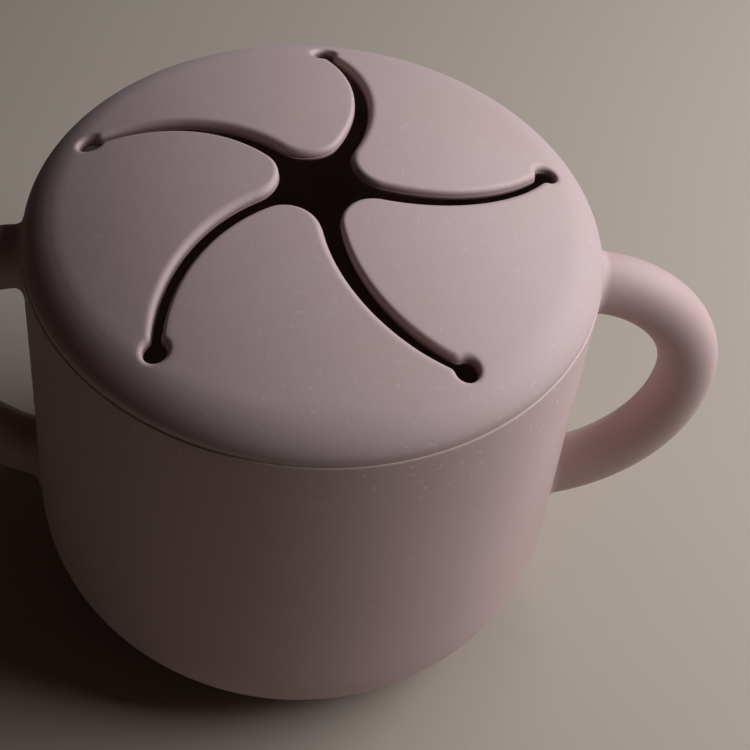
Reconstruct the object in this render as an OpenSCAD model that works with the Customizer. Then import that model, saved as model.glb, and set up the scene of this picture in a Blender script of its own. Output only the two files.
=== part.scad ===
// Snack cup for a toddler: a moulded cup with two loop handles, and a soft lid whose
// crown is cut by curved slits into flaps that a small hand pushes through.
// Origin at the middle of the base, +Z up, +X through the right handle.

/* [Cup] */
// Outside diameter of the cup and of its lid
cup_d = 90; // [82:1:98]
// Height of the rim that the lid sits on
rim_h = 76.5; // [68:0.5:88]
// Thickness of the cup's side wall
wall_t = 2.8; // [2.4:0.1:3.4]
// Thickness of the cup's floor
floor_t = 3.2; // [2.4:0.1:5]
// Outside radius of the rounded edge round the base
base_round = 20; // [12:1:24]
// Chamfer that leads the lid's plug into the rim
rim_chamfer = 0.6; // [0.4:0.1:1]

/* [Handles] */
// Thickness of the round handle
handle_d = 10; // [8:0.5:12]
// Widest gap between the cup and a handle, for small fingers
finger_gap = 14.3; // [12:0.1:22]
// Radius of the handle's upper bend, at its centre line
upper_bend = 20.5; // [17:0.5:24]
// Radius of the handle's lower bend, at its centre line
lower_bend = 29; // [24:0.5:34]
// Drop from the rim to the centre line of the handle's upper end
handle_drop = 6.3; // [6.1:0.1:10]

/* [Lid] */
// Gap of the seam between the rim and the lid
seam_gap = 0.05; // [0.02:0.01:0.2]
// Rise of the lid's crown above the seam
lid_rise = 12.8; // [10:0.2:15]
// Radius of the rounded shoulder round the lid
shoulder = 5.5; // [4:0.5:7]
// Thickness of the lid's crown and of its flaps
crown_t = 2; // [1.6:0.1:2.4]
// Depth of the plug inside the rim
plug_depth = 7; // [4:0.5:12]
// Thickness of the plug's wall
plug_t = 2.2; // [1.6:0.2:3]
// Clearance between the plug and the cup's wall
plug_gap = 0.15; // [0.1:0.05:0.3]
// Chamfer round the plug's lower edge
plug_chamfer = 0.8; // [0.4:0.1:1.2]
// Turn of the lid on the cup, from the right handle to the first slit's end
lid_turn = 88.5; // [0:0.5:359.5]

/* [Slits] */
// Distance from the middle of the lid to each slit's end hole
slit_reach = 37.6; // [36:0.2:39]
// Diameter of the round hole that ends each slit
end_hole_d = 3.6; // [2.4:0.2:4]
// Radius of the curve that each slit follows
slit_curve = 27.8; // [26:0.2:34]
// Angle that each slit turns round the middle, from its end hole to the star
slit_sweep = 23.7; // [18:0.1:28]
// Radius from the middle at which a slit opens into the star
star_r = 10; // [9:0.5:11]
// Width of a slit at its end hole
slit_w_end = 1.5; // [1:0.1:2]
// Width of a slit where it opens into the star
slit_w_star = 2.8; // [1.8:0.1:3.2]
// Radius of each flap's rounded tip
tip_round = 5.6; // [4.8:0.1:6.4]

/* [Flap roots] */
// Distance of the line that a flap bends about, inside the line between its end holes
root_inset = 4.5; // [4.2:0.1:7]
// How far the flap's round root stands past the lid's faces
root_margin = 0.55; // [0.4:0.05:0.8]
// Clearance between a flap's round root and its seat in the lid
root_gap = 0.15; // [0.1:0.05:0.3]

/* [Hidden] */

cup_colour = [0.72, 0.60, 0.59];
lid_colour = [0.78, 0.67, 0.66];
flap_colour = [0.80, 0.69, 0.68];

flap_count = 5;
flap_step = 360 / flap_count;
over = 1;              // overshoot of a cutting solid past the face that it cuts
round_fn = 96;         // facets asked for on round solids
arc_step = 5;          // degrees between the points of a curved outline

cup_r = cup_d / 2;
bore_r = cup_r - wall_t;
plug_out_r = bore_r - plug_gap;
plug_in_r = plug_out_r - plug_t;

// The crown is a ball's cap that runs smoothly into the rounded shoulder.
lid_z = rim_h + seam_gap;
shoulder_x = cup_r - shoulder;
crown_r = (pow(shoulder_x, 2) + pow(lid_rise, 2) - pow(shoulder, 2)) / (2 * (lid_rise - shoulder));
crown_z = lid_z + lid_rise - crown_r;
crown_a = atan2(shoulder_x, lid_z - crown_z);

// Handle: two tangent bends in the plane of X and Z.
handle_r = handle_d / 2;
handle_x = cup_r + finger_gap + handle_r;
handle_z = rim_h - handle_drop - upper_bend;
lower_end_a = acos((bore_r - handle_x + lower_bend) / lower_bend);

// Points along a circle about c, from angle a to angle b, leaving out the first few.
function arc(c, r, a, b, skip = 0) =
    let (n = ceil(abs(b - a) / arc_step))
    [for (i = [skip:n]) let (t = a + (b - a) * i / n) c + r * [cos(t), sin(t)]];

// Centre of the circle of radius r through p and q, on the left of the way from p to q.
function centre_through(p, q, r) =
    let (half = norm(q - p) / 2, u = (q - p) / norm(q - p))
    (p + q) / 2 + sqrt(r * r - half * half) * [-u[1], u[0]];

// Point at distance ra from a and rb from b, on the left of the way from a to b.
function meet(a, ra, b, rb) =
    let (d = norm(b - a), u = (b - a) / d, s = (ra * ra - rb * rb + d * d) / (2 * d))
    a + s * u + sqrt(ra * ra - s * s) * [-u[1], u[0]];

function polar(r, a) = r * [cos(a), sin(a)];
function turned(p, a) = [p[0] * cos(a) - p[1] * sin(a), p[0] * sin(a) + p[1] * cos(a)];
function heading(v) = atan2(v[1], v[0]);

// Height of the lid's face at radius r, with the face set inwards by inset.
function lid_face_z(r, inset) =
    r < (crown_r - inset) * sin(crown_a)
        ? crown_z + sqrt(pow(crown_r - inset, 2) - r * r)
        : lid_z + sqrt(pow(shoulder - inset, 2) - pow(r - shoulder_x, 2));

// A slit's centre line is an arc from its end hole to the star. Its two sides are arcs of
// their own, so that it widens towards the star. The first slit's end hole lies on +X.
hole_pt = [slit_reach, 0];
star_pt = polar(star_r, -slit_sweep);
slit_c = centre_through(star_pt, hole_pt, slit_curve);
to_bulge_end = slit_w_end / 2 * (slit_c - hole_pt) / slit_curve;
to_bulge_star = slit_w_star / 2 * (slit_c - star_pt) / slit_curve;
mean_half_w = (slit_w_end + slit_w_star) / 4;
bulge_r = slit_curve - mean_half_w;
bulge_c = centre_through(star_pt + to_bulge_star, hole_pt + to_bulge_end, bulge_r);
hollow_r = slit_curve + mean_half_w;
hollow_c = centre_through(star_pt - to_bulge_star, hole_pt - to_bulge_end, hollow_r);

// The first flap lies between the first slit and the next. Its tip's circle touches the
// bulging side from inside and the hollow side from outside.
next_c = turned(hollow_c, flap_step);
tip_c = meet(bulge_c, bulge_r - tip_round, next_c, hollow_r + tip_round);

// Each flap bends about a straight line inside the chord between its two end holes. Its
// root is a round bar along that line, thick enough to take in the curved crown.
root_x = slit_reach * cos(flap_step / 2) - root_inset;
root_far_r = norm([root_x, slit_reach * sin(flap_step / 2)]);
root_top = lid_face_z(root_x, 0);
root_bottom = lid_face_z(root_far_r, crown_t);
root_z = (root_top + root_bottom) / 2;
root_r = (root_top - root_bottom) / 2 + root_margin;

// Outline of the solid of revolution that fills the cup's outside.
function cup_outline() =
    concat([[0, 0]], arc([cup_r - base_round, base_round], base_round, -90, 0), [[cup_r, rim_h], [0, rim_h]]);

// Outline of the cup's hollow.
function hollow_outline() =
    let (r = base_round - wall_t)
    concat([[0, floor_t]], arc([cup_r - base_round, floor_t + r], r, -90, 0),
           [[bore_r, rim_h - rim_chamfer], [bore_r + rim_chamfer, rim_h],
            [bore_r + rim_chamfer, rim_h + over], [0, rim_h + over]]);

// Outline of the space under the dome's face set inwards by inset, reaching down by drop
// below the seam.
function dome_outline(inset, drop) =
    concat([[0, lid_z - drop]],
           drop > 0 ? [[cup_r - inset, lid_z - drop]] : [],
           arc([shoulder_x, lid_z], shoulder - inset, 0, 90 - crown_a),
           arc([0, crown_z], crown_r - inset, 90 - crown_a, 90, skip = 1));

// Arc of radius r about c that runs from beside point p to beside point q.
function side(c, r, p, q, skip = 0) = arc(c, r, heading(p - c), heading(q - c), skip);

// Outline of the first flap seen from above, running on past its root to the end holes.
function flap_outline() =
    concat(side(bulge_c, bulge_r, hole_pt, tip_c),
           arc(tip_c, tip_round, heading(tip_c - bulge_c), heading(next_c - tip_c) - 360, skip = 1),
           side(next_c, hollow_r, tip_c, turned(hole_pt, flap_step), skip = 1));

// Point beside the first flap's root where a circle about c crosses the line that lies at
// distance x from the middle and runs along the root.
function crossing(c, r, x) =
    let (out = polar(1, flap_step / 2), along = turned(out, 90))
    x * out + (c * along - sqrt(r * r - pow(x - c * out, 2))) * along;

// Outline of the lid's opening seen from above: along each flap's root, out along the next
// slit's hollow side to its end hole, and back in along its bulging side.
function opening_outline() =
    let (root_start = crossing(bulge_c, bulge_r, root_x),
         root_stop = crossing(next_c, hollow_r, root_x),
         out_side = side(next_c, hollow_r, root_stop, turned(hole_pt, flap_step)),
         in_side = side(bulge_c, bulge_r, hole_pt, root_start))
    [for (i = [0:flap_count - 1], p = concat(out_side, [for (q = in_side) turned(q, flap_step)]))
        turned(p, i * flap_step)];

// Outline of the first root's seat seen from above, ending in the slits at both ends.
function seat_outline() =
    let (inner = root_x - over,
         outer = root_x + root_r + root_gap + slit_w_end / 4,
         slit_c1 = turned(slit_c, flap_step))
    [crossing(slit_c, slit_curve, inner), crossing(slit_c, slit_curve, outer),
     crossing(slit_c1, slit_curve, outer), crossing(slit_c1, slit_curve, inner)];

module cup_envelope() {
    rotate_extrude($fn = round_fn) polygon(cup_outline());
}

module cup_body() {
    color(cup_colour)
    difference() {
        cup_envelope();
        rotate_extrude($fn = round_fn) polygon(hollow_outline());
    }
}

// Bend of the handle, from its widest point up and inwards by sweep.
module handle_bend(r, sweep) {
    translate([handle_x - r, 0, 0])
    rotate([90, 0, 0])
    rotate_extrude(angle = sweep, $fn = round_fn)
    translate([r, 0]) circle(handle_r, $fn = round_fn);
}

module handle() {
    color(cup_colour)
    difference() {
        union() {
            translate([0, 0, handle_z]) handle_bend(upper_bend, 90);
            translate([0, 0, handle_z]) mirror([0, 0, 1]) handle_bend(lower_bend, lower_end_a);
            if (handle_x - upper_bend > bore_r)
                translate([bore_r, 0, handle_z + upper_bend])
                rotate([0, 90, 0])
                cylinder(h = handle_x - upper_bend - bore_r, r = handle_r, $fn = round_fn);
        }
        cup_envelope();
    }
}

module handle_right() {
    handle();
}

module handle_left() {
    mirror([1, 0, 0]) handle();
}

// The lid's whole dome, before its slits are cut.
module dome_shell() {
    rotate_extrude($fn = round_fn)
    difference() {
        polygon(dome_outline(0, 0));
        polygon(dome_outline(crown_t, over));
    }
}

// Round bar of radius r along the line that the first flap bends about.
module root_bar(r) {
    rotate([0, 0, flap_step / 2])
    translate([root_x, slit_reach, root_z])
    rotate([90, 0, 0])
    cylinder(h = 2 * slit_reach, r = r, $fn = round_fn);
}

module lid() {
    color(lid_colour)
    rotate([0, 0, lid_turn])
    difference() {
        rotate_extrude($fn = round_fn)
        difference() {
            union() {
                polygon(dome_outline(0, 0));
                polygon([[plug_in_r, lid_z - plug_depth],
                         [plug_out_r - plug_chamfer, lid_z - plug_depth],
                         [plug_out_r, lid_z - plug_depth + plug_chamfer],
                         [plug_out_r, lid_z + over], [plug_in_r, lid_z + over]]);
            }
            intersection() {
                polygon(dome_outline(crown_t, plug_depth + over));
                translate([0, lid_z - plug_depth - over])
                square([plug_in_r, plug_depth + lid_rise + 2 * over]);
            }
        }
        translate([0, 0, lid_z])
        linear_extrude(height = lid_rise + over) polygon(opening_outline());
        for (i = [0:flap_count - 1])
            rotate([0, 0, i * flap_step]) {
                translate([slit_reach, 0, lid_z])
                cylinder(h = lid_rise + over, d = end_hole_d, $fn = round_fn);
                intersection() {
                    root_bar(root_r + root_gap);
                    translate([0, 0, lid_z])
                    linear_extrude(height = lid_rise + over) polygon(seat_outline());
                }
            }
    }
}

// One flap: the part of the dome between two slits, out to a round root.
module flap(index) {
    color(flap_colour)
    rotate([0, 0, lid_turn + index * flap_step])
    intersection() {
        dome_shell();
        translate([0, 0, lid_z])
        linear_extrude(height = lid_rise + over) polygon(flap_outline());
        union() {
            root_bar(root_r);
            rotate([0, 0, flap_step / 2])
            translate([root_x - cup_r, -cup_r, lid_z])
            cube([cup_r, cup_d, lid_rise + over]);
        }
    }
}

module flap_1() { flap(0); }
module flap_2() { flap(1); }
module flap_3() { flap(2); }
module flap_4() { flap(3); }
module flap_5() { flap(4); }

cup_body();
handle_left();
handle_right();
lid();
flap_1();
flap_2();
flap_3();
flap_4();
flap_5();
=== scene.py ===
import math

import bmesh
import bpy
import numpy as np
from mathutils import Matrix, Vector


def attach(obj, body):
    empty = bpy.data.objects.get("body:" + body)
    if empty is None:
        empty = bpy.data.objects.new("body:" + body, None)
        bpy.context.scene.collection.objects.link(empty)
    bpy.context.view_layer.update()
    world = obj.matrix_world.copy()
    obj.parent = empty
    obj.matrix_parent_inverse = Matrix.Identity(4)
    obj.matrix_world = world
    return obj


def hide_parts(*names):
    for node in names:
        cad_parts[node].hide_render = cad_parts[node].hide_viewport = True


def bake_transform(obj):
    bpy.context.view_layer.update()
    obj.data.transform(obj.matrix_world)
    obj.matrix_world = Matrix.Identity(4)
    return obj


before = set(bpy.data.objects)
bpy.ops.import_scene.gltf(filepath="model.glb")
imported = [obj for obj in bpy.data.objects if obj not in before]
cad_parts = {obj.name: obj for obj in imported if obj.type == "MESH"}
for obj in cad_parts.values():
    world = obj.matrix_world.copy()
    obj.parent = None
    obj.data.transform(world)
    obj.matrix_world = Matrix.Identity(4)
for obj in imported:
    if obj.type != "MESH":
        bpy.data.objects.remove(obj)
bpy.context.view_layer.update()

mm = 0.001
weldWithin = 0.002 * mm       # points nearer than this become one
sliverUnder = 0.0001 * mm     # edges shorter than this are dissolved


# Cells of a grid of points: each joins a point to the next one along and to the two in the next row.
def gridCells(rows, cols):
    i = np.arange(rows - 1)[:, None]
    j = np.arange(cols - 1)[None, :]
    first = i * cols + j
    return np.stack([first, first + 1, first + cols + 1, first + cols], -1).reshape(-1, 4)


# One closed mesh from several grids of points in millimetres: the grids' cells are numbered one grid after
# the other, and points that meet become one. Edges that bend by more than sharpAngle stay sharp.
def makePiece(name, grids, sharpAngle=38.0):
    starts = np.cumsum([0] + [g.shape[0] * g.shape[1] for g in grids])
    points = np.concatenate([g.reshape(-1, 3) for g in grids]) * mm
    cells = np.concatenate([gridCells(g.shape[0], g.shape[1]) + s for g, s in zip(grids, starts)])
    mesh = bpy.data.meshes.new(name)
    mesh.from_pydata(points.tolist(), [], cells.tolist())
    work = bmesh.new()
    work.from_mesh(mesh)
    bmesh.ops.remove_doubles(work, verts=work.verts, dist=weldWithin)
    bmesh.ops.dissolve_degenerate(work, edges=work.edges, dist=sliverUnder)
    bmesh.ops.recalc_face_normals(work, faces=work.faces)
    openEdges = sum(1 for e in work.edges if not e.is_manifold)
    work.to_mesh(mesh)
    work.free()
    mesh.shade_smooth()
    mesh.set_sharp_from_angle(angle=math.radians(sharpAngle))
    piece = bpy.data.objects.new(name, mesh)
    bpy.context.scene.collection.objects.link(piece)
    print(f"{name}: {len(mesh.polygons)} faces, {openEdges} open edges")
    return piece


# Points along a circle, centre + radius (cos a, sin a), from one angle to another, with the direction that
# points into the opening: side is 1 where the material lies inside the circle and -1 where it lies outside.
def arcRun(centre, radius, start, stop, steps, side=1.0):
    angle = np.radians(np.linspace(start, stop, steps + 1))
    out = np.stack([np.cos(angle), np.sin(angle)], -1)
    return np.asarray(centre) + radius * out, side * out


# Several runs end to end, leaving out the first point of each run after the first.
def joinRuns(*runs):
    return [np.concatenate([r[k] if n == 0 else r[k][1:] for n, r in enumerate(runs)]) for k in (0, 1)]


# Plan point at a distance from the axis and a bearing a: radius (cos a, sin a).
def polar(radius, degrees):
    return radius * np.array([math.cos(math.radians(degrees)), math.sin(math.radians(degrees))])


# Plan points turned about the axis by a: (x cos a - y sin a, x sin a + y cos a).
def turned(p, degrees):
    c, s = math.cos(math.radians(degrees)), math.sin(math.radians(degrees))
    p = np.asarray(p)
    return np.stack([p[..., 0] * c - p[..., 1] * s, p[..., 0] * s + p[..., 1] * c], -1)


# Bearing of a plan vector in degrees: the arc tangent of y over x.
def heading(v):
    return math.degrees(math.atan2(v[1], v[0]))


# Angle b less whole turns until it isn't above a.
def turnedBelow(a, b):
    return b - 360 * math.ceil((b - a) / 360) if b > a else b


# Angle b plus whole turns until it isn't below a.
def turnedAbove(a, b):
    return b + 360 * math.ceil((a - b) / 360) if b < a else b


# Centre of the circle of the given radius through p and q, on the left of the way from p to q: from the
# middle of the chord, across it by the root of radius squared less half the chord squared.
def centreThrough(p, q, radius):
    half = np.linalg.norm(q - p) / 2
    u = (q - p) / np.linalg.norm(q - p)
    return (p + q) / 2 + math.sqrt(radius**2 - half**2) * np.array([-u[1], u[0]])


# Of the two points at distance ra from a and rb from b, the one nearer the axis: along the line from a to b
# by (ra^2 - rb^2 + d^2) / 2d, then across it by what is left of ra.
def meet(a, ra, b, rb):
    d = np.linalg.norm(b - a)
    u = (b - a) / d
    s = (ra**2 - rb**2 + d**2) / (2 * d)
    n = math.sqrt(ra**2 - s**2) * np.array([-u[1], u[0]])
    return min(a + s * u + n, a + s * u - n, key=np.linalg.norm)


# Surface of revolution: a closed outline of (radius, height) carried round the vertical axis, each point to
# (radius cos a, radius sin a, height).
def spin(outline, steps, startAngle=0.0):
    angle = np.radians(startAngle + np.linspace(0, 360, steps + 1))
    ring = np.stack([np.cos(angle), np.sin(angle)], -1)
    flat = outline[:, None, :1] * ring[None, :, :]
    high = np.broadcast_to(outline[:, None, 1:], flat.shape[:2] + (1,))
    return np.concatenate([flat, high], -1)


# One socket of a node tree, so that shader maths reads as ordinary arithmetic.
class Flow:
    def __init__(self, tree, socket=None):
        self.tree, self.socket = tree, socket

    # Any node: its type, its settings, then the values or links of its sockets.
    def node(self, kind, settings=None, inputs=None, output=0):
        node = self.tree.nodes.new(kind)
        for key, value in (settings or {}).items():
            setattr(node, key, value)
        for key, value in (inputs or {}).items():
            if isinstance(value, Flow):
                self.tree.links.new(value.socket, node.inputs[key])
            else:
                node.inputs[key].default_value = value
        return Flow(self.tree, node.outputs[output]) if len(node.outputs) else None

    # A Math node's operation on values in order.
    def math(self, operation, *values):
        return self.node("ShaderNodeMath", {"operation": operation}, dict(enumerate(values)))

    # Colour a where factor is 0 and b, or what the blend makes of both, where it is 1.
    def mixColour(self, factor, a, b, blend="MIX"):
        settings = {"data_type": "RGBA", "blend_type": blend}
        return self.node("ShaderNodeMix", settings, {0: factor, 6: a, 7: b}, 2)

    # Another output of the same node.
    def beside(self, output):
        return Flow(self.tree, self.socket.node.outputs[output])

    # Length of the flat vector (self, other): the root of the sum of both squares.
    def length(self, other):
        return self.math("SQRT", self * self + other * other)

    # A value from low to high, where self goes from 0 to 1.
    def between(self, low, high):
        return self * (high - low) + low

    def __add__(self, other):
        return self.math("ADD", self, other)

    def __radd__(self, other):
        return self.math("ADD", other, self)

    def __sub__(self, other):
        return self.math("SUBTRACT", self, other)

    def __rsub__(self, other):
        return self.math("SUBTRACT", other, self)

    # A vector is scaled, and a number is multiplied.
    def __mul__(self, other):
        if self.socket.type == "VECTOR":
            return self.node("ShaderNodeVectorMath", {"operation": "SCALE"}, {0: self, "Scale": other})
        return self.math("MULTIPLY", self, other)

    def __rmul__(self, other):
        return self * other

    def __gt__(self, other):
        return self.math("GREATER_THAN", self, other)

    def __lt__(self, other):
        return self.math("LESS_THAN", self, other)


# The emptied node tree of a material or world.
def emptyTree(owner):
    owner.use_nodes = True
    owner.node_tree.nodes.clear()
    return Flow(owner.node_tree)


siliconeLook = {
    "lidColour": (0.525, 0.392, 0.402, 1),
    "cupColour": (0.555, 0.392, 0.392, 1),
    "warmShift": (0.500, 0.350, 0.348, 1),    # what the colour drifts towards in cloudy patches
    "paintedSlitShade": (0.40, 0.26, 0.23, 1),       # painted shade: what is left of the colour deep in a slit
    "cloudSize": 26.0, "cloudDetail": 3.0,    # mm, the broad patches
    "cloudShare": 1.1, "mottleSize": 5.5, "mottleShare": 0.35, "driftMiddle": 0.35,
    "rimPaintedHighlight": 0.12, "rimHighlightWidth": 0.34,    # the cup's top outer edge is painted paler over this width in mm, a painted highlight where the rim catches the light
    "roughness": 0.60, "roughnessDrift": 0.10, "lintRoughness": 0.25,
    "peelSize": 1.1,                          # mm, the moulded skin's faint waviness
    "grainSize": 0.16, "grainShare": 0.35,    # mm, its fine matte grain
    "lintHeight": 1.5, "bumpStrength": 0.35, "bumpDepth": 0.03,
    "specular": 0.36, "sheen": 0.12, "sheenRoughness": 0.45, "sheenTint": (1.0, 0.96, 0.96, 1),
}
lintLook = {
    "colour": (0.90, 0.85, 0.83, 1),
    "hairSpacing": 3.4, "hairLength": 1.7, "hairBend": 0.75, "hairWidth": 0.045,   # mm
    "bendRange": (0.3, 1.7), "lengthRange": (0.3, 1.0), "paleRange": (0.4, 1.0),   # shares, hair by hair
    "speckSpacing": 1.9,                      # mm
    "speckSize": 0.045, "speckRange": (0.4, 1.4), "speckShare": 0.32,   # the size is a share of the spacing
    "wobbleSize": 1.1, "wobble": 0.55,        # mm, bends the hairs a little out of true
    "lidShare": 0.5, "lidStrength": 0.40,
    "wallShare": 0.10, "wallStrength": 0.95,
    "bandShare": 0.65, "bandHeight": 9.0,     # more of it in these mm just under the rim
    "wallReach": 0.5,                         # mm outside the wall where its lint stops, short of the handles
}


# Lint on a sheet of two coordinates, as a share from 0 to strength: a hair is an arc of a circle through
# its cell's centre, cut off at half its length from there, and a speck is a dot at a cell's centre.
def lintOn(x, y, share, strength):
    c = lintLook
    place = x.node("ShaderNodeCombineXYZ", None, {"X": x, "Y": y})
    swayInputs = {"Vector": place, "Scale": 1 / (c["wobbleSize"] * mm), "Detail": 1.0}
    sway = (x.node("ShaderNodeTexNoise", None, swayInputs) - 0.5) * (c["wobble"] * mm)
    x, y = x + sway, y - sway
    sheet = x.node("ShaderNodeCombineXYZ", None, {"X": x, "Y": y})

    # One cell's distance and place for each point, with chances that are the same all over a cell.
    def cells(spacing):
        inputs = {"Vector": sheet, "Scale": 1 / (spacing * mm), "Randomness": 1.0}
        cell = x.node("ShaderNodeTexVoronoi", {"voronoi_dimensions": "2D", "feature": "F1"}, inputs)
        middle = cell.beside("Position")
        centre = x.node("ShaderNodeSeparateXYZ", None, {"Vector": middle})
        chance = x.node("ShaderNodeTexWhiteNoise", {"noise_dimensions": "2D"}, {"Vector": middle * (1 / mm)})
        odds = x.node("ShaderNodeSeparateColor", None, {"Color": chance.beside("Color")})
        return cell, x - centre, y - centre.beside("Y"), chance, odds

    _, acrossX, acrossY, chance, odds = cells(c["hairSpacing"])
    bend = odds.between(*c["bendRange"]) * (c["hairBend"] * mm)
    turn = odds.beside("Green") * (2 * math.pi)
    fromBend = (acrossX - bend * turn.math("COSINE", turn)).length(acrossY - bend * turn.math("SINE", turn))
    offLine = (fromBend - bend).math("ABSOLUTE", fromBend - bend)
    half = odds.beside("Blue").between(*c["lengthRange"]) * (c["hairLength"] / 2 * mm)
    hair = (offLine < c["hairWidth"] * mm) * (acrossX.length(acrossY) < half) * (chance < share)
    distance, _, _, speckChance, speckOdds = cells(c["speckSpacing"])
    dot = distance < speckOdds.between(*c["speckRange"]) * c["speckSize"]
    speck = dot * (speckChance < share * c["speckShare"])
    shown = hair * odds.between(*c["paleRange"])
    return shown.math("MAXIMUM", shown, speck) * strength


# Matte silicone: a cloudy colour with painted shade deep in the slits and, on the cup, a painted highlight
# along the rim's top outer edge, a drifting roughness, fine grain and lint. On the cup the lint lies on the
# unrolled wall, (angle x radius, height), and on the lid on its plan.
def makeSilicone(name, colour, onWall):
    look = siliconeLook
    material = bpy.data.materials.new(name)
    nodes = emptyTree(material)
    place = nodes.node("ShaderNodeTexCoord", output=3)
    x = nodes.node("ShaderNodeSeparateXYZ", None, {"Vector": place})
    y, z = x.beside("Y"), x.beside("Z")

    # Noise whose patches are about this many mm across.
    def noise(size, detail=2.0):
        inputs = {"Vector": place, "Scale": 1 / (size * mm), "Detail": detail}
        return nodes.node("ShaderNodeTexNoise", None, inputs)

    cloud = noise(look["cloudSize"], look["cloudDetail"])
    mottle = noise(look["mottleSize"])
    drift = (cloud - 0.5) * look["cloudShare"] + (mottle - 0.5) * look["mottleShare"] + look["driftMiddle"]
    drift = nodes.node("ShaderNodeClamp", None, {"Value": drift})
    body = nodes.mixColour(drift, colour, look["warmShift"])
    # painted shade: the colour darkens deep in the slits' walls, where shade falls
    paintedShade = nodes.node("ShaderNodeAttribute", {"attribute_name": "paintedShade"}, output=2)
    body = nodes.mixColour(paintedShade, body, look["paintedSlitShade"], "MULTIPLY")
    if onWall:
        fromAxis = x.length(y)
        inBand = z > (cup["rim"] - lintLook["bandHeight"]) * mm
        onCup = fromAxis < (cup["radius"] + lintLook["wallReach"]) * mm
        share = (inBand * lintLook["bandShare"] + lintLook["wallShare"]) * onCup
        lint = lintOn(y.math("ARCTAN2", y, x) * cup["radius"] * mm, z, share, lintLook["wallStrength"])
        # painted highlight: a thin band at the cup's top outer edge is lightened towards the lint's pale
        # colour, where the rim catches the light
        nearTop = z > (cup["rim"] - look["rimHighlightWidth"]) * mm
        paintedRimHighlight = nearTop * (fromAxis > (cup["radius"] - look["rimHighlightWidth"]) * mm)
        body = nodes.mixColour(paintedRimHighlight * look["rimPaintedHighlight"], body, lintLook["colour"])
    else:
        lint = lintOn(x, y, lintLook["lidShare"], lintLook["lidStrength"])
    shown = nodes.mixColour(lint, body, lintLook["colour"])

    rough = look["roughness"] + (cloud - 0.5) * look["roughnessDrift"] + lint * look["lintRoughness"]
    grain = noise(look["peelSize"]) + noise(look["grainSize"]) * look["grainShare"]
    height = grain + lint * look["lintHeight"]
    bump = nodes.node("ShaderNodeBump", None, {
        "Strength": look["bumpStrength"], "Distance": look["bumpDepth"] * mm, "Height": height})
    shader = nodes.node("ShaderNodeBsdfPrincipled", None, {
        "Base Color": shown, "Roughness": rough, "Normal": bump, "Specular IOR Level": look["specular"],
        "Sheen Weight": look["sheen"], "Sheen Roughness": look["sheenRoughness"],
        "Sheen Tint": look["sheenTint"]})
    nodes.node("ShaderNodeOutputMaterial", None, {"Surface": shader})
    return material


cup = {
    "radius": 45.0, "rim": 76.5, "wall": 2.8, "floor": 3.2, "baseRound": 20.0,
    "rimEdge": 0.26,        # rounding of the rim's outer edge, a fine bright line under the lid
    "rimChamfer": 0.6, "steps": 240,
}

cupSilicone = makeSilicone("cupSilicone", siliconeLook["cupColour"], True)
lidSilicone = makeSilicone("lidSilicone", siliconeLook["lidColour"], False)
print("materials made")


# Outline of the cup's wall: up the outside from the middle of the base, over the rim, and down the inside.
# Its bends are quarter circles, and the inner one is smaller by the wall.
def cupOutline(c):
    inner = c["baseRound"] - c["wall"]
    mid = c["radius"] - c["baseRound"]
    bore = c["radius"] - c["wall"]
    edgeFoot, leadFoot = c["rim"] - c["rimEdge"], c["rim"] - c["rimChamfer"]
    base = np.linspace((0, 0), (mid, 0), 14)[:-1]
    outerBend, _ = arcRun((mid, c["baseRound"]), c["baseRound"], -90, 0, 36)
    wall = np.linspace((c["radius"], c["baseRound"]), (c["radius"], edgeFoot), 24)[1:-1]
    edge, _ = arcRun((c["radius"] - c["rimEdge"], edgeFoot), c["rimEdge"], 0, 90, 6)
    lead = np.array([[bore + c["rimChamfer"], c["rim"]], [bore, leadFoot]])
    inside = np.linspace((bore, leadFoot), (bore, c["floor"] + inner), 20)[1:-1]
    innerBend, _ = arcRun((mid, c["floor"] + inner), inner, 0, -90, 30)
    floor = np.linspace((mid, c["floor"]), (0, c["floor"]), 12)[1:]
    return np.concatenate([base, outerBend, wall, edge, lead, inside, innerBend, floor])


cupPiece = makePiece("cupWall", [spin(cupOutline(cup), cup["steps"])])
cupPiece.data.materials.append(cupSilicone)
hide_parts("cup_body")
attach(cupPiece, "cup")
print("cup made")

loop = {
    "radius": 5.0, "reach": 64.3, "middle": 49.7, "upperBend": 20.5, "lowerBend": 29.0,
    "rootRound": 1.8,       # fillet where the loop grows out of the cup's wall
    "endDepth": 1.3,        # how far its ends run into the wall
    "aroundSteps": 48, "stepAngle": 1.5,
    "lowerSteps": 1.4, "rootCrowd": 1.3,    # how much finer its steps are lower down, and near the wall
    "sharpAngle": 60.0,
}


# Distance outside the cup's rounded cylinder, less than 0 within it: from the axis less the radius, or
# below the wall's foot from the base's bend less the bend's radius.
def outsideCup(p):
    c = cup
    across = np.hypot(p[..., 0], p[..., 1])
    mid = c["radius"] - c["baseRound"]
    bend = np.hypot(np.maximum(across - mid, 0), p[..., 2] - c["baseRound"]) - c["baseRound"]
    return np.where(p[..., 2] < c["baseRound"], bend, across - c["radius"])


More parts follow.
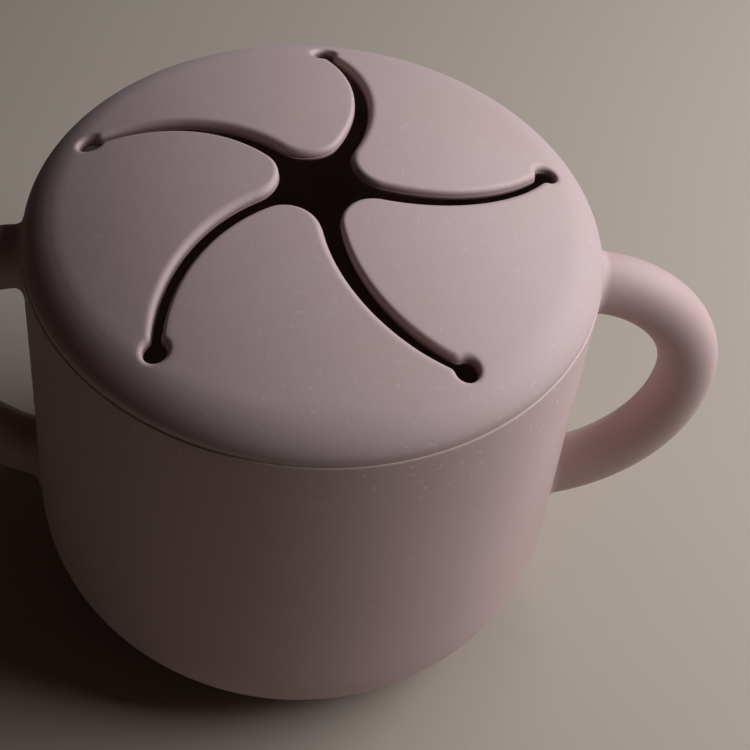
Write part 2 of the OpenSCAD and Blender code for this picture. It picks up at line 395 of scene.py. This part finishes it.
# A tube carried along two tangent bends, from the wall at the top to the wall at the bottom. Near the wall
# each point moves out along a fillet's circle, by r less the root of r squared less (r - gap) squared.
def loopTube(c, side):
    stopX = cup["radius"] - c["endDepth"]
    upMid, lowMid = c["reach"] - c["upperBend"], c["reach"] - c["lowerBend"]
    upStart = 90.0
    lowStop = math.degrees(math.acos((stopX - lowMid) / c["lowerBend"]))
    upSteps, lowSteps = int(upStart / c["stepAngle"]), int(lowStop / c["stepAngle"] * c["lowerSteps"])
    upAngle = upStart * (1 - np.linspace(0, 1, upSteps + 1) ** c["rootCrowd"])
    lowAngle = -lowStop * (1 - (1 - np.linspace(0, 1, lowSteps + 1)) ** c["rootCrowd"])
    angle = np.radians(np.concatenate([upAngle, lowAngle[1:]]))
    isUp = np.arange(len(angle)) <= upSteps
    mid = np.where(isUp, upMid, lowMid)
    bend = np.where(isUp, c["upperBend"], c["lowerBend"])
    outward = np.stack([np.cos(angle), np.zeros(len(angle)), np.sin(angle)], -1)
    centres = np.stack([mid, np.zeros(len(angle)), np.full(len(angle), c["middle"])], -1)
    line = centres + bend[:, None] * outward
    around = np.radians(np.linspace(0, 360, c["aroundSteps"] + 1))[None, :, None]
    way = np.cos(around) * outward[:, None, :] + np.sin(around) * np.array([0.0, 1.0, 0.0])
    tube = line[:, None, :] + c["radius"] * way
    gap = np.clip(outsideCup(tube), 0, c["rootRound"])
    flare = c["rootRound"] - np.sqrt(c["rootRound"]**2 - (c["rootRound"] - gap)**2)
    tube = tube + flare[..., None] * way
    firstEnd = np.broadcast_to(line[0], tube[:1].shape)
    lastEnd = np.broadcast_to(line[-1], tube[:1].shape)
    return np.concatenate([firstEnd, tube, lastEnd]) * np.array([side, 1.0, 1.0])


for word, side in (("Right", 1.0), ("Left", -1.0)):
    handle = makePiece("handle" + word, [loopTube(loop, side)], loop["sharpAngle"])
    handle.data.materials.append(cupSilicone)
    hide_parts("handle_" + word.lower())
    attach(handle, "cup")
print("handles made")

lid = {
    "radius": 45.0, "seam": 76.55, "rise": 12.8, "shoulder": 5.5, "thickness": 2.0,
    "plugDepth": 7.0, "plugOut": 42.05, "plugIn": 39.85, "plugChamfer": 0.8, "plugInnerChamfer": 0.3,
    "turn": 88.5, "flaps": 5,
    "rootInset": 4.5,       # how far inside the chord between two end holes a flap bends
    "bendStart": 38.2, "bendPower": 2.55,   # where the face begins to turn down, and how squarely it turns
    "lipInset": 0.20, "lipHeight": 1.6,     # the lid's lower edge draws in from the cup's rim
    "lipChamfer": (0.12, 0.10),             # across and high
    "rimSteps": 44,         # points down the shoulder
    "cols": 48,             # steps across a flap
    "bowEnd": 26.0,         # radius where the rows across a flap have become straight
    "rowStep": 0.03,        # least distance from one row to the next where they pass the end holes
}
slit = {
    "reach": 37.6, "holeRadius": 1.8, "curve": 27.8, "sweep": 23.7, "starRadius": 10.0,
    "widthEnd": 1.5, "widthStar": 2.8, "tipRound": 5.6,
    "neckRound": 1.3,       # rounding where a slit opens into its end hole
    "holeEdge": 0.95,       # rounding of the top edge round the end hole, then along each side of a slit
    "bulgeEdge": 0.70, "hollowEdge": 1.20,
    "holeEase": 0.9, "edgeFade": 9.0, "tipFade": 4.0,   # mm along the edge over which one passes to the next
    "lowEdge": 0.35, "lowEdgeLeast": 0.08,  # rounding of the lower edge, which fades out towards the plug
    "lowFadeEnd": 39.8, "lowFadeSlope": 0.5,
    "bulgeFlash": 0.08, "hollowFlash": 0.20, "flashPlace": 0.62,   # moulding line down on the slit's wall
    "flashHalf": 0.14,      # its half width, as a share of the wall
    "shadeStart": 0.35, "shadeSpan": 0.55,  # shares of the thickness where painted shade darkens the wall
    "downFacing": -0.75, "downSpan": 0.4,   # normals that point down more than this get no painted shade
}
shoulderX = lid["radius"] - lid["shoulder"]
crownR = (shoulderX**2 + lid["rise"]**2 - lid["shoulder"]**2) / (2 * (lid["rise"] - lid["shoulder"]))
crownZ = lid["seam"] + lid["rise"] - crownR
crownAngle = math.degrees(math.atan2(shoulderX, lid["seam"] - crownZ))
splitRadius = crownR * math.sin(math.radians(crownAngle))   # where the rim and the flaps' pieces meet
flapStep = 360 / lid["flaps"]


# Height of the lid's outer face: a ball's cap whose height over the seam is cut by (1 - t**p)**(1/p),
# where t goes from 0 to 1 between the start of the bend and the rim.
def lidFace(radius):
    cap = crownZ + np.sqrt(crownR**2 - radius**2)
    t = np.clip((radius - lid["bendStart"]) / (lid["radius"] - lid["bendStart"]), 0, 1)
    return lid["seam"] + (cap - lid["seam"]) * (1 - t**lid["bendPower"])**(1 / lid["bendPower"])


# Height of its inner face: the cap's ball and the shoulder's circle, both smaller by the thickness.
def lidUnder(radius):
    ball, bend = crownR - lid["thickness"], lid["shoulder"] - lid["thickness"]
    cap = crownZ + np.sqrt(ball**2 - radius**2)
    side = lid["seam"] + np.sqrt(np.maximum(bend**2 - np.maximum(radius - shoulderX, 0)**2, 0))
    return np.where(radius < ball * math.sin(math.radians(crownAngle)), cap, side)


# Outline of the lid's rim piece: shoulder, lower edge, plug, and the hidden face towards the flaps. The
# shoulder is lidFace in even steps of an angle a: t is sin a to the power 2/p, and the cut cos a to 2/p.
def rimOutline():
    width, power = lid["radius"] - lid["bendStart"], lid["bendPower"]
    first = math.asin(((splitRadius - lid["bendStart"]) / width) ** (power / 2))
    angles = first + (math.pi / 2 - first) * np.linspace(0, 1, lid["rimSteps"])
    radius = lid["bendStart"] + width * np.sin(angles) ** (2 / power)
    cap = crownZ + np.sqrt(crownR**2 - radius**2)
    height = lid["seam"] + (cap - lid["seam"]) * np.maximum(np.cos(angles), 0) ** (2 / power)
    nearSeam = np.clip((lid["seam"] + lid["lipHeight"] - height) / lid["lipHeight"], 0, 1)
    bend = np.stack([radius - lid["lipInset"] * nearSeam**2 * (3 - 2 * nearSeam), height], -1)
    lipAcross, lipHigh = lid["lipChamfer"]
    bend[-1, 1] += lipHigh
    lipFoot = lid["radius"] - lid["lipInset"] - lipAcross
    under = np.array([[lipFoot, lid["seam"]], [lid["plugOut"], lid["seam"]]])
    plugFoot, inset = lid["seam"] - lid["plugDepth"], lid["plugInnerChamfer"]
    plug = np.array([[lid["plugOut"], plugFoot + lid["plugChamfer"]],
                     [lid["plugOut"] - lid["plugChamfer"], plugFoot],
                     [lid["plugIn"] + inset, plugFoot], [lid["plugIn"], plugFoot + inset]])
    inner = float(lidUnder(np.array(lid["plugIn"])))
    hidden = np.array([[lid["plugIn"], inner], bend[0]])
    return np.concatenate([bend, under, plug, hidden])


# Both sides of a flap from the end holes' outer points to the tip's apex, as plan points with the
# directions that point into the opening. Each side is a chain of tangent circles: the end hole, the neck's
# rounding, the slit's arc and the tip's rounding. The first slit's end hole lies on +X.
def flapSides():
    s = slit
    hole = np.array([s["reach"], 0.0])
    star = polar(s["starRadius"], -s["sweep"])
    slitC = centreThrough(star, hole, s["curve"])
    toEnd = s["widthEnd"] / 2 * (slitC - hole) / s["curve"]
    toStar = s["widthStar"] / 2 * (slitC - star) / s["curve"]
    halfMean = (s["widthEnd"] + s["widthStar"]) / 4
    bulgeR, hollowR = s["curve"] - halfMean, s["curve"] + halfMean
    bulgeC = centreThrough(star + toStar, hole + toEnd, bulgeR)
    nextC = turned(centreThrough(star - toStar, hole - toEnd, hollowR), flapStep)
    nextHole = turned(hole, flapStep)
    tipC = meet(bulgeC, bulgeR - s["tipRound"], nextC, hollowR + s["tipRound"])
    neck, holeR = s["neckRound"], s["holeRadius"]
    neckA = meet(bulgeC, bulgeR - neck, hole, holeR + neck)
    neckB = meet(nextC, hollowR + neck, nextHole, holeR + neck)

    tipStart = heading(tipC - bulgeC)
    tipStop = turnedBelow(tipStart, heading(nextC - tipC))
    apex = (tipStart + tipStop) / 2
    stopA, fromNeckA = turnedAbove(0, heading(neckA - hole)), heading(hole - neckA)
    sideA = joinRuns(
        arcRun(hole, holeR, 0, stopA, 26, -1),
        arcRun(neckA, neck, fromNeckA, turnedBelow(fromNeckA, heading(neckA - bulgeC)), 7),
        arcRun(bulgeC, bulgeR, heading(neckA - bulgeC), tipStart, 52),
        arcRun(tipC, s["tipRound"], tipStart, apex, 12))
    stopB, fromNeckB = turnedBelow(flapStep, heading(neckB - nextHole)), heading(nextHole - neckB)
    sideB = joinRuns(
        arcRun(nextHole, holeR, flapStep, stopB, 16, -1),
        arcRun(neckB, neck, fromNeckB, turnedAbove(fromNeckB, heading(nextC - neckB)), 7),
        arcRun(nextC, hollowR, heading(neckB - nextC), heading(tipC - nextC), 62, -1),
        arcRun(tipC, s["tipRound"], tipStop, apex, 12))
    return sideA, sideB


# Plan of a flap's face: rows run straight across from side to side, from a circle at the rim to the tip's
# apex, and each row keeps a share of the circle's bow that fades on the way in.
def flapPlan(pointsA, pointsB, circle, miniShares):
    startA, startB = polar(circle, 0), polar(circle, flapStep)
    share = np.asarray(miniShares)[:, None]
    left = np.concatenate([startA + (pointsA[0] - startA) * share, pointsA])
    right = np.concatenate([startB + (pointsB[0] - startB) * share, pointsB])
    v = np.linspace(0, 1, lid["cols"] + 1)
    angle = np.radians(v * flapStep)
    bow = circle * np.stack([np.cos(angle), np.sin(angle)], -1) - (startA + (startB - startA) * v[:, None])
    reach = (np.linalg.norm(left, axis=-1) + np.linalg.norm(right, axis=-1)) / 2
    keep = np.clip((reach - lid["bowEnd"]) / (circle - lid["bowEnd"]), 0, 1)
    # rows that would fold back over the last one where they pass the end holes keep less of the bow
    middle = polar(1.0, flapStep / 2)
    chord, rise = (left + right) @ middle / 2, bow[len(v) // 2] @ middle
    order = lid["rowStep"] * np.arange(len(keep))
    held = np.minimum.accumulate(chord + keep * rise + order) - order
    keep = np.where(reach > lid["bowEnd"], (held - chord) / rise, keep)
    return (left[:, None, :] * (1 - v)[None, :, None] + right[:, None, :] * v[None, :, None]
            + keep[:, None, None] * bow[None, :, :])


# Plan points with the height that a function gives for their distance from the axis.
def raised(plan, height):
    return np.concatenate([plan, height(np.linalg.norm(plan, axis=-1))[..., None]], -1)


# Painted shade on a slit's wall, a share at each point by how deep it lies: 0 down to a third of the lid's
# thickness under its face, then rising evenly to 1 near the wall's foot. It fades to none on faces that look
# down.
def markPaintedShade(piece):
    mesh = piece.data
    points, normals = np.empty(len(mesh.vertices) * 3), np.empty(len(mesh.vertices) * 3)
    mesh.vertices.foreach_get("co", points)
    mesh.vertices.foreach_get("normal", normals)
    points, normals = points.reshape(-1, 3) / mm, normals.reshape(-1, 3)
    under = (lidFace(np.linalg.norm(points[:, :2], axis=-1)) - points[:, 2]) / lid["thickness"]
    shade = np.clip((under - slit["shadeStart"]) / slit["shadeSpan"], 0, 1)
    paintedShade = shade * np.clip((normals[:, 2] - slit["downFacing"]) / slit["downSpan"], 0, 1)
    mesh.attributes.new("paintedShade", "FLOAT", "POINT").data.foreach_set("value", paintedShade)


# Closed solid of one flap's sector in the first flap's place: a top and a lower face, the slit's wall all
# along the outline with quarter-circle edges above and below, the face towards the rim piece, and two caps.
def flapGrids():
    (ptsA, outA), (ptsB, outB) = flapSides()
    outline = np.concatenate([ptsA, ptsB[-2::-1]])
    outward = np.concatenate([outA, outB[-2::-1]])
    reach = np.linalg.norm(outline, axis=-1)
    along = np.concatenate([[0], np.cumsum(np.linalg.norm(np.diff(outline, axis=0), axis=-1))])
    tip, end = along[len(ptsA) - 1], along[-1]
    fade, tipFade = slit["edgeFade"], slit["tipFade"]
    stops = [0, fade / 2, fade, tip - tipFade, tip + tipFade, end - fade, end - fade / 2, end]
    bulge, hollow, hole = slit["bulgeEdge"], slit["hollowEdge"], slit["holeEdge"]
    top = np.interp(along, stops, [hole, slit["holeEase"] * hole, bulge, bulge, hollow, hollow, hole, hole])
    fine, wide = slit["bulgeFlash"], slit["hollowFlash"]
    flash = np.interp(along, stops, [fine, fine, fine, fine, wide, wide, wide, fine])
    low = np.clip((slit["lowFadeEnd"] - reach) * slit["lowFadeSlope"], slit["lowEdgeLeast"], slit["lowEdge"])
    top, flash, low = top[:, None], flash[:, None], low[:, None]
    quarter, lowQuarter = np.radians(np.linspace(0, 90, 8)), np.radians(np.linspace(90, 0, 6))
    place, half = slit["flashPlace"], slit["flashHalf"]
    wallShare = np.array([0.25, place - half, place - half / 2, place, place + half / 2, place + half])
    wallOut = flash * np.array([0, 0, 0.25, 1.0, 0.25, 0])
    # along the profile: how far out, how deep below the top face, how high above the lower one, which face
    out = np.concatenate([-top * (1 - np.sin(quarter)), wallOut, -low * (1 - np.sin(lowQuarter))], 1)
    steady = np.ones(len(wallShare))
    deep = np.concatenate([top * (1 - np.cos(quarter)), top * steady, top * np.ones(len(lowQuarter))], 1)
    high = np.concatenate([low * np.ones(len(quarter)), low * steady, low * (1 - np.cos(lowQuarter))], 1)
    face = np.concatenate([np.zeros(len(quarter)), wallShare, np.ones(len(lowQuarter))])[None, :]
    plan = outline[:, None, :] + outward[:, None, :] * out[..., None]
    radius = np.linalg.norm(plan, axis=-1)
    z = (lidFace(radius) - deep) * (1 - face) + (lidUnder(radius) + high) * face
    edge = np.concatenate([plan, z[..., None]], -1)

    n = len(ptsA)
    # shares of the way from the split to the end hole; the first row runs on under the rim piece
    mini = [-0.3, 0.0, 0.10, 0.40]
    topA, topB = plan[:n, 0], plan[n - 1:, 0][::-1]
    lowA, lowB = plan[:n, -1], plan[n - 1:, -1][::-1]
    topFace = raised(flapPlan(topA, topB, splitRadius, mini), lidFace)
    topFace[0, :, 2] -= 0.01         # keeps that row just below the rim piece's face
    lowFace = raised(flapPlan(lowA, lowB, lid["plugIn"], mini), lidUnder)
    down = np.linspace(0, 1, edge.shape[1])[:, None, None]
    back = topFace[:1] * (1 - down) + lowFace[:1] * down
    caps = []
    for column, line in ((0, edge[0]), (-1, edge[-1])):
        share = np.linspace(0, 1, len(mini) + 1)[:, None, None]
        cap = back[None, :, column] * (1 - share) + line[None] * share
        cap[:, 0], cap[:, -1] = topFace[:len(cap), column], lowFace[:len(cap), column]
        caps.append(cap)
    return [topFace, lowFace, edge, back] + caps


rimPiece = makePiece("lidRim", [spin(rimOutline(), lid["cols"] * lid["flaps"], lid["turn"])])
rimPiece.data.materials.append(lidSilicone)
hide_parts("lid")
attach(rimPiece, "lid")

chord = slit["reach"] * math.cos(math.radians(flapStep / 2))
bendLine = chord - lid["rootInset"]
for n in range(lid["flaps"]):
    turn = lid["turn"] + n * flapStep
    grids = [np.concatenate([turned(g[..., :2], turn), g[..., 2:]], -1) for g in flapGrids()]
    flap = makePiece(f"flap{n + 1}", grids)
    markPaintedShade(flap)
    flap.data.materials.append(lidSilicone)
    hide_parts(f"flap_{n + 1}")
    inward = polar(1.0, turn + flapStep / 2)
    startPoint, endPoint = inward * chord * mm, inward * (2 * bendLine - chord) * mm
    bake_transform(flap)
print("lid made")

# Lengths here are in metres and angles in degrees.
stageLook = {
    "floorSize": 3.0, "floorCells": 8, "floorRoughness": 0.8,
    "floorColour": (0.437, 0.372, 0.320, 1), "patchColour": (0.36, 0.315, 0.275, 1),
    "patchShare": 0.22, "patchScale": 14.0, "patchDetail": 3.0,
    "keyPower": 2.12, "keyWidth": 0.44, "keyHeight": 0.22, "keyDistance": 0.39, "keyAim": 0.06,
    "keyAzimuth": 11.5, "keyElevation": 34.5, "keyColour": (0.955, 0.985, 1.0),
    "worldStrength": 0.018, "worldColour": (1.0, 0.68, 0.60, 1),
    "backColour": (0.42, 0.38, 0.345, 1),   # what the camera sees past the floor
}


# A flat square grid at height 0, faintly patched.
def makeFloor(c):
    side = np.linspace(-c["floorSize"], c["floorSize"], c["floorCells"] + 1)
    x, y = np.meshgrid(side, side)
    points = np.stack([x, y, np.zeros_like(x)], -1)
    mesh = bpy.data.meshes.new("floor")
    mesh.from_pydata(points.reshape(-1, 3).tolist(), [], gridCells(len(side), len(side)).tolist())
    floor = bpy.data.objects.new("floor", mesh)
    bpy.context.scene.collection.objects.link(floor)
    material = bpy.data.materials.new("floorMatt")
    nodes = emptyTree(material)
    place = nodes.node("ShaderNodeTexCoord", output=3)
    patches = nodes.node("ShaderNodeTexNoise", None, {
        "Vector": place, "Scale": c["patchScale"], "Detail": c["patchDetail"]})
    colour = nodes.mixColour(patches * c["patchShare"], c["floorColour"], c["patchColour"])
    shader = nodes.node("ShaderNodeBsdfPrincipled", None, {
        "Base Color": colour, "Roughness": c["floorRoughness"]})
    nodes.node("ShaderNodeOutputMaterial", None, {"Surface": shader})
    mesh.materials.append(material)


# A broad soft panel that faces the snack cup from a bearing and a height.
def makeKeyLamp(c):
    lamp = bpy.data.lights.new("keyLamp", "AREA")
    lamp.shape, lamp.energy, lamp.color = "RECTANGLE", c["keyPower"], c["keyColour"]
    lamp.size, lamp.size_y = c["keyWidth"], c["keyHeight"]
    holder = bpy.data.objects.new("keyLamp", lamp)
    bpy.context.scene.collection.objects.link(holder)
    a, e = math.radians(c["keyAzimuth"]), math.radians(c["keyElevation"])
    way = Vector((math.cos(e) * math.cos(a), math.cos(e) * math.sin(a), math.sin(e)))
    holder.location = Vector((0, 0, c["keyAim"])) + way * c["keyDistance"]
    holder.rotation_euler = way.to_track_quat("Z", "Y").to_euler()


# A faint warm glow that lights the shadows, and a plain colour where the camera looks past the floor.
def makeWorld(c):
    world = bpy.data.worlds.new("studio")
    bpy.context.scene.world = world
    nodes = emptyTree(world)
    seen = nodes.node("ShaderNodeLightPath", output=0)
    glow = nodes.node("ShaderNodeBackground", None, {
        "Color": c["worldColour"], "Strength": c["worldStrength"]})
    back = nodes.node("ShaderNodeBackground", None, {"Color": c["backColour"], "Strength": 1.0})
    both = nodes.node("ShaderNodeMixShader", None, {0: seen, 1: glow, 2: back})
    nodes.node("ShaderNodeOutputWorld", None, {"Surface": both})


# The camera's distance and the height that it aims at are in mm, and its angles in degrees.
cameraSpot = {
    "focalPixels": 1764.66, "distance": 275.0, "elevation": 44.54, "roll": -4.85,
    "aimHeight": 76.55, "aimPixel": (315.26, 239.9), "azimuth": -3.27, "frame": 750,
    "sensor": 36.0, "clip": (0.01, 20.0),   # mm, and metres
}


# The camera stands at a distance and an elevation from a point on the axis, is rolled, and then turned
# so that this point falls on its pixel; the whole is turned about the vertical to face the handles.
def makeCamera(c):
    e, r = math.radians(c["elevation"]), math.radians(c["roll"])
    spot = Vector((0, -c["distance"] * math.cos(e), c["aimHeight"] + c["distance"] * math.sin(e)))
    ahead = Vector((0, math.cos(e), -math.sin(e)))
    right = Vector((1, 0, 0))
    level = Matrix((right, right.cross(ahead), -ahead))
    rolled = Matrix(((math.cos(r), -math.sin(r), 0), (math.sin(r), math.cos(r), 0), (0, 0, 1)))
    pixelX, pixelY = c["aimPixel"]
    toPixel = Vector((pixelX - c["frame"] / 2, c["frame"] / 2 - pixelY, -c["focalPixels"])).normalized()
    nudge = Vector((0, 0, -1)).rotation_difference(toPixel).to_matrix()
    placed = (nudge @ rolled @ level).transposed().to_4x4()
    placed.translation = spot * mm
    data = bpy.data.cameras.new("camera")
    data.sensor_width, data.lens = c["sensor"], c["focalPixels"] / c["frame"] * c["sensor"]
    data.clip_start, data.clip_end = c["clip"]
    camera = bpy.data.objects.new("camera", data)
    bpy.context.scene.collection.objects.link(camera)
    camera.matrix_world = Matrix.Rotation(math.radians(c["azimuth"]), 4, "Z") @ placed
    bpy.context.scene.camera = camera


makeFloor(stageLook)
makeKeyLamp(stageLook)
makeWorld(stageLook)
makeCamera(cameraSpot)
bpy.context.scene.view_settings.view_transform = "Standard"
print("stage made")
